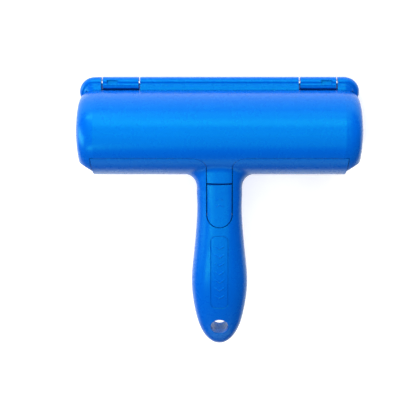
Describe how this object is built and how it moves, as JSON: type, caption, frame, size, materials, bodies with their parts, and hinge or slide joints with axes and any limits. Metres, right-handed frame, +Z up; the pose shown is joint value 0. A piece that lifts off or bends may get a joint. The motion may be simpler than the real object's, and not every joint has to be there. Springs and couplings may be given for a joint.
{
  "type": "lint roller",
  "caption": "Reusable pet hair and lint roller: wide barrel head with a rocking fabric drum, hinged lid over the lint chamber, release button and a rounded handle with a hanging hole.",
  "frame": {"origin": "middle of the overall box, on the floor the roller stands on", "axes": "+X along the drum, +Y towards the hinge side of the head, +Z up; the handle points towards -Y and rises 12 degrees"},
  "size_m": [0.2032, 0.1948, 0.0745],
  "materials": {
    "blue_shell": "satin gloss",
    "lint_fabric": "short slanted nap",
    "drum_plastic": "matte",
    "bush_plastic": "natural",
    "dark_rubber": "soft matte",
    "steel": "plain drawn wire"
  },
  "bodies": {
    "base": {"main_body": "blue_shell", "handle_lower_shell": "blue_shell", "bottom_frame": "blue_shell", "front_lint_strip": "lint_fabric", "rear_lint_strip": "lint_fabric", "handle_screws": "steel", "frame_screws": "steel", "hinge_pin_left": "steel", "hinge_pin_right": "steel", "button_pivot_pin": "steel", "button_spring": "steel", "drum_bush_left": "bush_plastic", "drum_bush_right": "bush_plastic", "stop_bumpers": "dark_rubber"},
    "lid": {"lid": "blue_shell"},
    "drum": {"drum_core": "drum_plastic", "drum_end_cap_left": "drum_plastic", "drum_end_cap_right": "drum_plastic", "drum_shaft": "steel", "drum_fabric_front": "lint_fabric", "drum_fabric_rear": "lint_fabric", "drum_wiper_blade": "dark_rubber"},
    "button": {"release_button": "blue_shell"}
  },
  "joints": [
    {"name": "lid_hinge", "type": "hinge", "parent": "base", "child": "lid", "pos_m": [0, 0.09335, 0.0082], "axis": [-1, 0, 0], "range_deg": [0, 105]},
    {"name": "drum_rock", "type": "hinge", "parent": "base", "child": "drum", "pos_m": [0, 0.06195, 0.0246], "axis": [1, 0, 0], "range_deg": [-22, 22]},
    {"name": "button_press", "type": "hinge", "parent": "base", "child": "button", "pos_m": [0, 0.00921, 0.05063], "axis": [-1, 0, 0], "range_deg": [0, 5], "stiffness_Nm_per_rad": 0.5, "springref_deg": -4.58, "deforming": ["button_spring"]}
  ]
}
